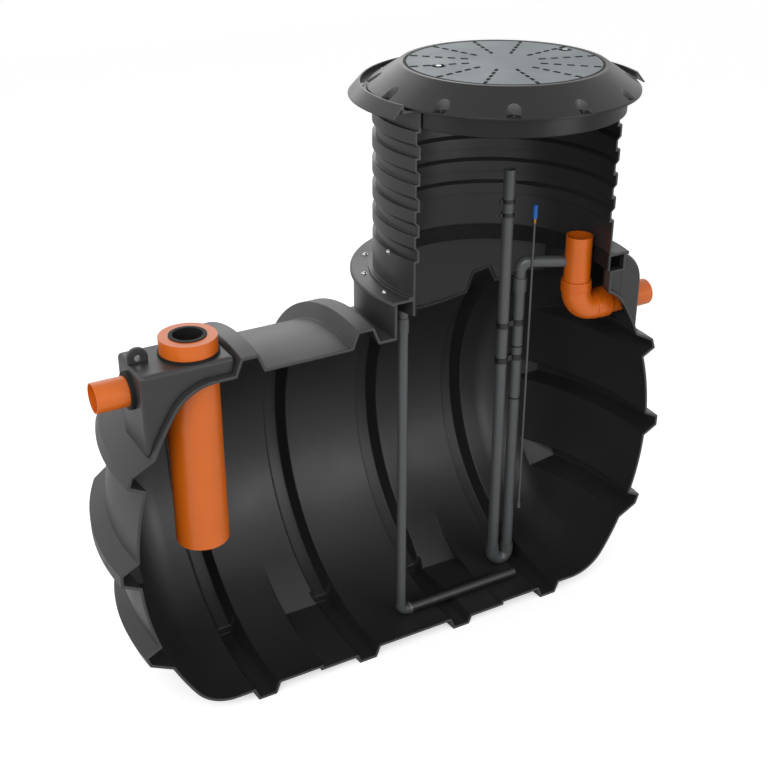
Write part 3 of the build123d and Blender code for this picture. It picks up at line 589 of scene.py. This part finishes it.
def head_profile(radius: float, tall: float) -> Section:
    """Section of a domed screw head on its washer.

    Args:
        radius: Radius of the head in millimetres.
        tall: Height of the head in millimetres.

    Returns:
        Radius and height pairs.
    """
    washer = radius * 1.35
    facets = 6
    points = [(0.0, 0.0), (washer, 0.0), (washer, WASHER_MM), (radius, WASHER_MM)]
    for i in range(1, facets + 1):
        turn = i * math.pi / (2 * facets)
        points.append((radius * math.cos(turn), WASHER_MM + (tall - WASHER_MM) * math.sin(turn)))
    return points


def plan_middle(name: str) -> tuple[float, float]:
    """Give the middle of a frame node as seen from above.

    Args:
        name: Name of the node.

    Returns:
        X and Y in millimetres.
    """
    low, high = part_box(name)
    return (low[0] + high[0]) / 2 / MM, (low[1] + high[1]) / 2 / MM


@dataclass
class RadialPattern:
    """Rows of like items round an upright axis, made by a node tree."""

    name: str
    rows: int
    start_mm: float
    height_mm: float
    per_row: int = 1
    pitch_mm: float = 0.0
    turn_deg: float = 0.0
    centre_x_mm: float = SHAFT_X_MM
    front_mm: float = -4000.0

    def item(self, tree: bpy.types.NodeTree) -> bpy.types.NodeSocket:
        """Make one item of the pattern in the tree; each kind of pattern gives its own.

        Args:
            tree: The node tree.

        Returns:
            The item's geometry socket.
        """
        raise NotImplementedError

    def sizes(self, tree: bpy.types.NodeTree) -> bpy.types.NodeOutputs:
        """Give the tree its named inputs and its output.

        Args:
            tree: The node tree.

        Returns:
            The input values, by name, as the tree's other nodes read them.
        """
        counts = {"Rows": self.rows, "Per Row": self.per_row}
        lengths = {"Start": self.start_mm * MM, "Pitch": self.pitch_mm * MM,
                   "Height": self.height_mm * MM, "Turn": math.radians(self.turn_deg),
                   "Centre X": self.centre_x_mm * MM, "Front": self.front_mm * MM}
        for kind, values in (("NodeSocketInt", counts), ("NodeSocketFloat", lengths)):
            for label, value in values.items():
                socket = tree.interface.new_socket(label, in_out="INPUT", socket_type=kind)
                socket.default_value = value
        tree.interface.new_socket("Geometry", in_out="OUTPUT", socket_type="NodeSocketGeometry")
        return add_node(tree, "NodeGroupInput").outputs

    def tree(self, material: bpy.types.Material) -> bpy.types.NodeTree:
        """Build the node tree.

        Args:
            material: The finish of the items.

        Returns:
            The geometry node tree.
        """
        tree = bpy.data.node_groups.new(self.name, "GeometryNodeTree")
        given = self.sizes(tree)
        first = add_node(tree, "ShaderNodeCombineXYZ", None, {"X": given["Start"]})
        step = add_node(tree, "ShaderNodeCombineXYZ", None, {"X": given["Pitch"]})
        line = add_node(tree, "GeometryNodeMeshLine", None, {
            "Count": given["Per Row"], "Start Location": first.outputs[0],
            "Offset": step.outputs[0]})
        row = add_node(tree, "GeometryNodeInstanceOnPoints", None, {
            "Points": line.outputs[0], "Instance": self.item(tree)})
        hub = add_node(tree, "GeometryNodeMeshLine", None, {
            "Count": given["Rows"], "Start Location": (0.0, 0.0, 0.0),
            "Offset": (0.0, 0.0, 0.0)})
        index = add_node(tree, "GeometryNodeInputIndex")
        share = add_node(tree, "ShaderNodeMath", {"operation": "DIVIDE"}, {
            0: index.outputs[0], 1: given["Rows"]})
        angle = add_node(tree, "ShaderNodeMath", {"operation": "MULTIPLY_ADD"}, {
            0: share.outputs[0], 1: 2 * math.pi, 2: given["Turn"]})
        spin = add_node(tree, "ShaderNodeCombineXYZ", None, {"Z": angle.outputs[0]})
        round_hub = add_node(tree, "GeometryNodeInstanceOnPoints", None, {
            "Points": hub.outputs[0], "Instance": row.outputs[0], "Rotation": spin.outputs[0]})
        place = add_node(tree, "ShaderNodeCombineXYZ", None, {
            "X": given["Centre X"], "Z": given["Height"]})
        moved = add_node(tree, "GeometryNodeTransform", None, {
            "Geometry": round_hub.outputs[0], "Translation": place.outputs[0]})
        real = add_node(tree, "GeometryNodeRealizeInstances", None, {
            "Geometry": moved.outputs[0]})
        where = add_node(tree, "GeometryNodeInputPosition")
        parts = add_node(tree, "ShaderNodeSeparateXYZ", None, {0: where.outputs[0]})
        before = add_node(tree, "FunctionNodeCompare", {"operation": "LESS_THAN"}, {
            0: parts.outputs["Y"], 1: given["Front"]})
        kept = add_node(tree, "GeometryNodeDeleteGeometry", None, {
            "Geometry": real.outputs[0], "Selection": before.outputs[0]})
        dressed = add_node(tree, "GeometryNodeSetMaterial", None, {
            "Geometry": kept.outputs[0], "Material": material})
        add_node(tree, "NodeGroupOutput", None, {"Geometry": dressed.outputs[0]})
        return tree

    def build(self, material: bpy.types.Material, slot: str) -> None:
        """Make the pattern as one plain mesh piece.

        Args:
            material: The finish of the items.
            slot: Name of a material slot; not used.
        """
        piece = bpy.data.objects.new(self.name, bpy.data.meshes.new(self.name + "_seed"))
        bpy.context.scene.collection.objects.link(piece)
        modifier = piece.modifiers.new("pattern", "NODES")
        modifier.node_group = self.tree(material)
        graph = bpy.context.evaluated_depsgraph_get()
        mesh = bpy.data.meshes.new_from_object(piece.evaluated_get(graph))
        piece.modifiers.remove(modifier)
        piece.data = mesh
        mesh.name = self.name
        keep(piece)


@dataclass
class Dashes(RadialPattern):
    """Short anti-slip dashes in rows from the lid's middle outwards."""

    length_mm: float = 27.0
    width_mm: float = 11.0
    thick_mm: float = 3.0

    def item(self, tree: bpy.types.NodeTree) -> bpy.types.NodeSocket:
        """Make one flat dash.

        Args:
            tree: The node tree.

        Returns:
            The dash's geometry socket.
        """
        size = (self.length_mm * MM, self.width_mm * MM, self.thick_mm * MM)
        return add_node(tree, "GeometryNodeMeshCube", None, {"Size": size}).outputs["Mesh"]


@dataclass
class Screws(RadialPattern):
    """Round-headed screws with their washers."""

    head_mm: float = 18.0
    tall_mm: float = 7.0
    washer_share: float = 0.62

    def item(self, tree: bpy.types.NodeTree) -> bpy.types.NodeSocket:
        """Make one domed head on a washer.

        Args:
            tree: The node tree.

        Returns:
            The screw's geometry socket.
        """
        washer = add_node(tree, "GeometryNodeMeshCylinder", None, {
            "Vertices": 24, "Radius": self.head_mm * self.washer_share * MM,
            "Depth": WASHER_MM * MM})
        ball = add_node(tree, "GeometryNodeMeshUVSphere", None, {
            "Segments": 20, "Rings": 10, "Radius": self.head_mm / 2 * MM})
        squash = add_node(tree, "GeometryNodeTransform", None, {
            "Geometry": ball.outputs["Mesh"],
            "Scale": (1.0, 1.0, self.tall_mm / self.head_mm * 2)})
        smooth = add_node(tree, "GeometryNodeSetShadeSmooth", None, {
            "Geometry": squash.outputs[0]})
        join = add_node(tree, "GeometryNodeJoinGeometry")
        tree.links.new(washer.outputs["Mesh"], join.inputs[0])
        tree.links.new(smooth.outputs[0], join.inputs[0])
        return join.outputs[0]


@dataclass
class SubAssembly:
    """Some of the plant's frame nodes by their finish, with the small pieces on them."""

    dressed: dict[str, tuple[str, ...]] = field(default_factory=dict)

    def dress(self, nodes: Nodes, looks: Looks) -> None:
        """Put each finish in the material slots of its frame nodes.

        Args:
            nodes: The frame's nodes by name.
            looks: Materials by name.
        """
        for look, names in self.dressed.items():
            for name in names:
                for slot in nodes[name].material_slots:
                    slot.material = looks[look]
        LOG.info("dressed %s", type(self).__name__)

    def build(self, looks: Looks) -> None:
        """Make the small pieces; each sub-assembly has its own.

        Args:
            looks: Materials by name.
        """
        raise NotImplementedError


@dataclass
class Shell(SubAssembly):
    """Tank barrel, domes, neck and pipe boxes."""

    dressed: dict[str, tuple[str, ...]] = field(default_factory=lambda: {
        "tank": ("barrel_ring_1", "barrel_ring_2", "barrel_ring_3", "barrel_ring_4",
                 "inlet_dome", "outlet_dome", "inlet_box", "outlet_box",
                 "inlet_lifting_eye", "outlet_lifting_eye"),
        "neck": ("access_neck",)})
    flange_top_mm: float = 1595.0
    screw_count: int = 16
    screw_circle_mm: float = 523.0
    screw_turn_deg: float = 4.2
    screw_front_mm: float = -130.0

    def build(self, looks: Looks) -> None:
        """Make the screws on the neck flange.

        Args:
            looks: Materials by name.
        """
        screws = Screws("flange_screws", self.screw_count, self.screw_circle_mm,
                        self.flange_top_mm + WASHER_MM / 2, turn_deg=self.screw_turn_deg,
                        front_mm=self.screw_front_mm)
        screws.build(looks["steel"], "steel")


@dataclass
class Riser(SubAssembly):
    """Ribbed shaft, collar and their fixings."""

    dressed: dict[str, tuple[str, ...]] = field(default_factory=lambda: {
        "shaft": ("riser_shaft", "riser_rings_low", "riser_rings_middle", "riser_rings_high",
                  "riser_collar")})
    collar_top_mm: float = 2296.0
    screw_count: int = 12
    screw_circle_mm: float = 519.0
    screw_head_mm: float = 14.0
    screw_tall_mm: float = 6.0
    screw_front_mm: float = -130.0
    wall_radius_mm: float = 482.0
    bolt_angles_deg: tuple[float, ...] = (180.0, 90.0, 0.0)
    bolt_height_mm: float = 1736.0
    bolt_radius_mm: float = 7.0
    bolt_tall_mm: float = 11.0
    bolt_sunk_mm: float = 0.5
    # A black rubber seal band inside the neck's skirt, which also stands as painted shadow under
    # the riser's foot.
    foot_shadow_radius_mm: float = 473.8
    foot_shadow_thick_mm: float = 5.0
    foot_shadow_low_mm: float = 1527.0
    foot_shadow_high_mm: float = 1592.0
    foot_shadow_front_mm: float = -144.5

    def build(self, looks: Looks) -> None:
        """Make the collar's screws, the wall's bolts and the black band at the riser's foot, a
        rubber seal that also stands as painted shadow there.

        Args:
            looks: Materials by name.
        """
        screws = Screws("collar_screws", self.screw_count, self.screw_circle_mm,
                        self.collar_top_mm + WASHER_MM / 2, front_mm=self.screw_front_mm,
                        head_mm=self.screw_head_mm, tall_mm=self.screw_tall_mm)
        screws.build(looks["steel"], "steel")
        heads = []
        for angle in self.bolt_angles_deg:
            out = Vector((math.cos(math.radians(angle)), math.sin(math.radians(angle)), 0.0))
            foot = Vector((SHAFT_X_MM, 0.0, self.bolt_height_mm))
            place = foot + out * (self.wall_radius_mm - self.bolt_sunk_mm)
            head = head_profile(self.bolt_radius_mm, self.bolt_tall_mm)
            heads.append((axis_at(tuple(place), tuple(out)), head))
        keep(mesh_object("riser_bolts", around(heads), looks["steel"]))
        # The seal band that doubles as painted shadow under the riser's foot.
        inner, outer = self.foot_shadow_radius_mm - self.foot_shadow_thick_mm, self.foot_shadow_radius_mm
        low, high = self.foot_shadow_low_mm, self.foot_shadow_high_mm
        section = [(inner, low), (outer, low), (outer, high), (inner, high)]
        band = cut_band(section, SHAFT_X_MM, self.foot_shadow_front_mm)
        keep(mesh_object("riser_foot_seal_and_shadow", band, looks["rubber"]))


@dataclass
class Lid(SubAssembly):
    """Lid plate with its radial dashes, rim seal and two fasteners, and black rubber rings as
    painted shadow: a lip round the plate's edge and rings in the fasteners' wells.
    """

    dressed: dict[str, tuple[str, ...]] = field(default_factory=lambda: {
        "frame": ("lid_frame", "lid_frame_spigot"),
        "lid": ("lid_plate",),
        "steel": ("lid_fasteners",)})
    top_mm: float = 2384.0
    plate_mm: float = 361.0
    recess_mm: float = 368.0
    thick_mm: float = 10.0
    rows: int = 12
    dashes_per_row: int = 5
    dash_start_mm: float = 148.0
    dash_pitch_mm: float = 48.0
    dash_turn_deg: float = 15.0
    seal_gap_mm: float = 0.3
    seal_lift_mm: float = 0.1
    seal_proud_mm: float = 0.2
    seal_steps: int = 144
    # The lip: a black ring on the plate's edge, painted shadow of the gap round the plate.
    shadow_lip_width_mm: float = 4.0
    shadow_lip_lap_mm: float = 0.2
    shadow_lip_lift_mm: float = 0.02
    shadow_lip_proud_mm: float = 0.6
    well_mm: float = 27.0
    well_deep_mm: float = 6.0
    fastener_mm: float = 11.0
    # Black rings on the wells' floors: painted shadow in the fasteners' wells.
    well_shadow_inner_gap_mm: float = 0.2
    well_shadow_outer_gap_mm: float = 0.4
    well_shadow_lift_mm: float = 0.05
    well_shadow_top_mm: float = 1.2
    pocket_screw_mm: float = 478.0
    pocket_floor_mm: float = 2304.0
    pocket_head_mm: float = 12.0
    pocket_tall_mm: float = 5.0

    def build(self, looks: Looks) -> None:
        """Make the dashes, the rim seal with its lip of painted shadow, black rings as painted
        shadow in the fasteners' wells, and the pocket screws.

        Args:
            looks: Materials by name.
        """
        dashes = Dashes("lid_dashes", self.rows, self.dash_start_mm, self.top_mm,
                        self.dashes_per_row, self.dash_pitch_mm, self.dash_turn_deg)
        dashes.build(looks["mark"], "lid_coated_iron")
        keep(mesh_object("lid_seal_and_rim_shadow", self.rim(), looks["rubber"]))
        # Black rubber rings as painted shadow on the floors of the fasteners' wells.
        well_shadows = []
        for x, y in self.fasteners():
            floor = self.top_mm - self.well_deep_mm
            section = tube_profile(self.fastener_mm + self.well_shadow_inner_gap_mm,
                                   self.well_mm - self.well_shadow_outer_gap_mm,
                                   floor + self.well_shadow_lift_mm, floor + self.well_shadow_top_mm)
            well_shadows.append((axis_at((x, y, 0.0)), section))
        keep(mesh_object("fastener_well_shadows", around(well_shadows), looks["rubber"]))
        screws = Screws("pocket_screws", self.rows, self.pocket_screw_mm,
                        self.pocket_floor_mm + WASHER_MM / 2,
                        head_mm=self.pocket_head_mm, tall_mm=self.pocket_tall_mm)
        screws.build(looks["nylon"], "black_plastic")

    def rim(self) -> Shape:
        """Shape the rubber seal between plate and frame, raised to the plate's top, with its lip
        on the plate's edge; the seal's black top and the lip are painted shadow of the gap round
        the plate.

        Returns:
            Vertices in metres and faces.
        """
        middle = axis_at((SHAFT_X_MM, 0.0, 0.0))
        low = self.top_mm - self.thick_mm
        seal = tube_profile(self.plate_mm + self.seal_gap_mm, self.recess_mm - self.seal_gap_mm,
                            low + self.seal_lift_mm, self.top_mm + self.seal_proud_mm)
        shadow_lip = tube_profile(self.plate_mm - self.shadow_lip_width_mm, self.plate_mm + self.shadow_lip_lap_mm,
                           self.top_mm + self.shadow_lip_lift_mm, self.top_mm + self.shadow_lip_proud_mm)
        return around([(middle, seal), (middle, shadow_lip)], self.seal_steps)

    def fasteners(self) -> list[tuple[float, float]]:
        """Give the middles of the two lid fasteners, from their CAD node.

        Returns:
            X and Y of each in millimetres.
        """
        low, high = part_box("lid_fasteners")
        left = (low[0] / MM + self.fastener_mm, high[1] / MM - self.fastener_mm)
        right = (high[0] / MM - self.fastener_mm, low[1] / MM + self.fastener_mm)
        return [left, right]


@dataclass
class Pipework(SubAssembly):
    """Inlet, outlet, air and airlift pieces with their finishes."""

    dressed: dict[str, tuple[str, ...]] = field(default_factory=lambda: {
        "orange": ("inlet_pipe", "dip_pipe", "cap_ring", "outlet_pipe", "outlet_bend",
                   "outlet_low_socket", "outlet_side_socket", "outlet_standpipe"),
        "rubber": ("cap_inner_seal", "cap_base_seal", "inlet_seal", "outlet_seal"),
        "grey": ("air_pipe", "air_coupling", "air_elbow", "airlift_suction_pipe",
                 "airlift_return_bend", "airlift_lift_pipe", "airlift_coupling",
                 "airlift_elbow", "airlift_discharge_pipe", "diffuser_ring",
                 "airlift_air_hose"),
        "nylon": ("diffuser", "air_pipe_clip", "airlift_bracket_low",
                  "airlift_bracket_high", "suction_pipe_clips"),
        "blue": ("hose_connector",)})
    slip_mm: float = 0.1
    hose_mm: float = 9.0
    ferrule_wall_mm: float = 3.5
    ferrule_long_mm: float = 20.0
    ferrule_gap_mm: float = 0.2
    fitting_wall_mm: float = 3.0
    fitting_long_mm: float = 26.0
    tie_heights_mm: tuple[float, ...] = (902.0, 1148.0)
    tie_thick_mm: float = 2.2
    tie_width_mm: float = 7.0

    def build(self, looks: Looks) -> None:
        """Make the hose's ferrule and end fitting, and the ties on the lift pipe.

        Args:
            looks: Materials by name.
        """
        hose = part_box("airlift_air_hose")
        low, high = hose[0][2] / MM, hose[1][2] / MM
        radius = self.hose_mm / 2
        line = axis_at((*plan_middle("airlift_air_hose"), 0.0))
        ferrule = tube_profile(radius + self.slip_mm, radius + self.ferrule_wall_mm,
                               high - self.ferrule_long_mm, high - self.ferrule_gap_mm)
        keep(mesh_object("hose_ferrule", turned(ferrule, line), looks["brass"]))
        fitting = tube_profile(radius + self.slip_mm, radius + self.fitting_wall_mm,
                               low, low + self.fitting_long_mm)
        keep(mesh_object("hose_fitting", turned(fitting, line), looks["grey"]))
        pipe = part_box("airlift_lift_pipe")
        radius = (pipe[1][0] - pipe[0][0]) / 2 / MM
        line = axis_at((*plan_middle("airlift_lift_pipe"), 0.0))
        ties = [(line, tube_profile(radius + self.slip_mm, radius + self.tie_thick_mm,
                                    height, height + self.tie_width_mm))
                for height in self.tie_heights_mm]
        keep(mesh_object("pipe_ties", around(ties), looks["nylon"]))


@dataclass(frozen=True)
class SoftBox:
    """A square soft lamp that faces one point, in metres and watts."""

    name: str
    place: Point
    aim: Point
    size_m: float
    power_w: float

    def build(self) -> None:
        """Hang the lamp."""
        light = bpy.data.lights.new(self.name, "AREA")
        light.shape = "SQUARE"
        light.size = self.size_m
        light.energy = self.power_w
        lamp = bpy.data.objects.new(self.name, light)
        lamp.location = self.place
        way = Vector(self.aim) - Vector(self.place)
        lamp.rotation_euler = way.to_track_quat("-Z", "Y").to_euler()
        bpy.context.scene.collection.objects.link(lamp)


@dataclass
class Studio:
    """Camera, lamps, floor and white surroundings."""

    camera_place: Point = (-2.215, -3.784, 3.396)
    heading_deg: float = 29.5
    pitch_deg: float = 26.89
    lens_mm: float = 58.65
    sensor_mm: float = 36.0
    fill: float = 0.45
    floor_half_m: float = 12.0
    floor_colour: str = "f4f4f4"
    floor_roughness: float = 0.9
    floor_glow: float = 0.55
    lamps: tuple[SoftBox, ...] = (
        SoftBox("key", (-3.4, -3.2, 4.4), (0.2, 0.1, 1.0), 3.0, 105.0),
        SoftBox("front", (2.2, -4.6, 2.2), (0.2, 0.2, 0.9), 2.6, 55.0),
        SoftBox("left", (-4.6, 0.4, 2.4), (-0.6, 0.2, 0.8), 2.4, 30.0),
        SoftBox("back", (1.4, 5.2, 4.6), (0.3, 0.0, 1.3), 4.6, 66.0))

    def build(self) -> None:
        """Set the camera, lamps, world and floor."""
        bpy.context.scene.view_settings.view_transform = "Standard"
        self.camera()
        for lamp in self.lamps:
            lamp.build()
        self.world()
        self.floor()

    def camera(self) -> None:
        """Stand the camera where the photograph was taken from."""
        scene = bpy.context.scene
        data = bpy.data.cameras.new("photo_camera")
        data.lens = self.lens_mm
        data.sensor_width = self.sensor_mm
        camera = bpy.data.objects.new("photo_camera", data)
        camera.location = self.camera_place
        camera.rotation_euler = (math.radians(90 - self.pitch_deg), 0.0,
                                 math.radians(-self.heading_deg))
        scene.collection.objects.link(camera)
        scene.camera = camera

    def world(self) -> None:
        """White to the eye and in reflections, and soft fill elsewhere."""
        world = bpy.data.worlds.new("studio")
        world.use_nodes = True
        tree = world.node_tree
        tree.nodes.clear()
        path = add_node(tree, "ShaderNodeLightPath")
        mirrored = add_node(tree, "ShaderNodeMath", {"operation": "MAXIMUM"}, {
            0: path.outputs["Is Glossy Ray"], 1: path.outputs["Is Transmission Ray"]})
        seen = add_node(tree, "ShaderNodeMath", {"operation": "MAXIMUM"}, {
            0: path.outputs["Is Camera Ray"], 1: mirrored.outputs[0]})
        fill = add_node(tree, "ShaderNodeBackground", None, {
            "Color": WHITE, "Strength": self.fill})
        white = add_node(tree, "ShaderNodeBackground", None, {"Color": WHITE, "Strength": 1.0})
        mix = add_node(tree, "ShaderNodeMixShader", None, {
            0: seen.outputs[0], 1: fill.outputs[0], 2: white.outputs[0]})
        add_node(tree, "ShaderNodeOutputWorld", None, {"Surface": mix.outputs[0]})
        bpy.context.scene.world = world

    def floor(self) -> None:
        """Lay a plain white floor under the plant."""
        half = self.floor_half_m
        mesh = bpy.data.meshes.new("studio_floor")
        edge = [(-half, -half, 0.0), (half, -half, 0.0), (half, half, 0.0), (-half, half, 0.0)]
        mesh.from_pydata(edge, [], [(0, 1, 2, 3)])
        floor = bpy.data.objects.new("studio_floor", mesh)
        material = bpy.data.materials.new("white_paper")
        material.use_nodes = True
        tree = material.node_tree
        shader = tree.nodes["Principled BSDF"]
        shader.inputs["Base Color"].default_value = linear(self.floor_colour)
        shader.inputs["Roughness"].default_value = self.floor_roughness
        # The eye sees the paper lighter than it lights the plant, and the shadow stays on it.
        path = add_node(tree, "ShaderNodeLightPath")
        glow = add_node(tree, "ShaderNodeMath", {"operation": "MULTIPLY"}, {
            0: path.outputs["Is Camera Ray"], 1: self.floor_glow})
        shader.inputs["Emission Color"].default_value = WHITE
        tree.links.new(glow.outputs[0], shader.inputs["Emission Strength"])
        mesh.materials.append(material)
        bpy.context.scene.collection.objects.link(floor)


def main() -> None:
    """Build and dress the plant, part by part."""
    logging.basicConfig(level=logging.INFO, format="%(message)s")
    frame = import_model()
    looks = finishes()
    Studio().build()
    for part in (Shell(), Riser(), Lid(), Pipework()):
        part.dress(frame["nodes"], looks)
        part.build(looks)


if __name__ == "__main__":
    main()
